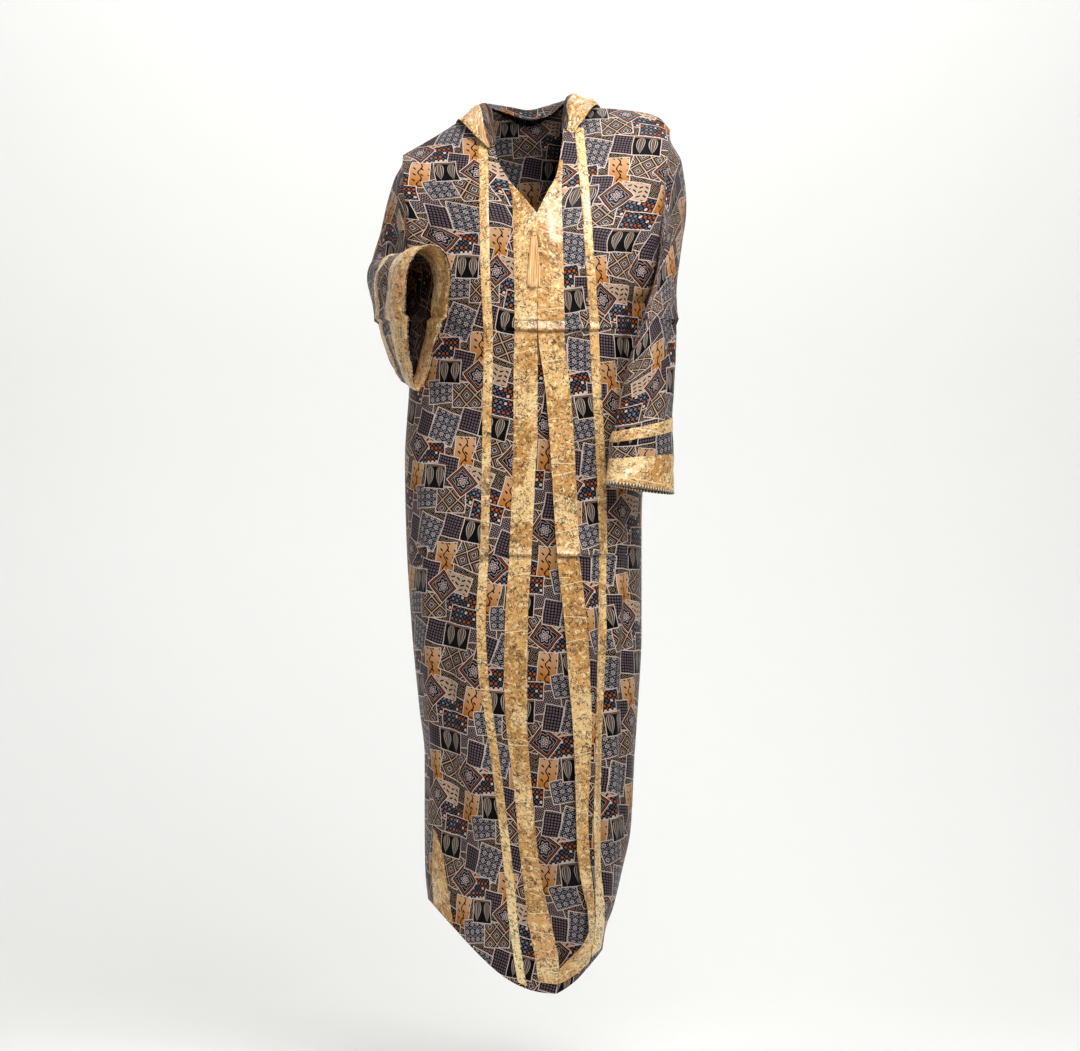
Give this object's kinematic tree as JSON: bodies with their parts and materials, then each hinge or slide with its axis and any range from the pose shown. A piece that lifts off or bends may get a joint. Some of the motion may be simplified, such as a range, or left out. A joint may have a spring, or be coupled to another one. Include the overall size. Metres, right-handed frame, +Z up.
{
  "type": "hooded kaftan dress",
  "caption": "Long hooded kaftan dress with a V neck, a tassel, wide sleeves with banded cuffs, two front bands beside an inverted pleat and a narrow tape on each side of the front.",
  "frame": {"origin": "between the shoulders, on the line of the shoulder seams, where the wearer carries the dress", "axes": "+Z up along the dress, -Y to its front, +X to the wearer's left"},
  "size_m": [0.4986, 0.3979, 1.405],
  "materials": {
    "printed_satin": "satin with a printed patchwork of grey, navy, maroon and tan",
    "gold_satin": "gold satin with a small dark vine print",
    "tassel_silk": "gold viscose strands"
  },
  "bodies": {
    "root": {"front_right": "printed_satin", "front_left": "printed_satin", "back": "printed_satin", "pleat_underlay": "printed_satin", "sleeve_right": "printed_satin", "sleeve_left": "printed_satin", "hood": "printed_satin", "wide_band_right": "gold_satin", "wide_band_left": "gold_satin", "narrow_tape_right": "gold_satin", "narrow_tape_left": "gold_satin", "slit_facing_right": "gold_satin", "sleeve_tape_right": "gold_satin", "sleeve_tape_left": "gold_satin", "cuff_band_right": "gold_satin", "cuff_band_left": "gold_satin", "cuff_facing_right": "gold_satin", "cuff_facing_left": "gold_satin", "hood_facing": "gold_satin", "hood_band": "gold_satin", "tassel": "tassel_silk"}
  },
  "joints": []
}
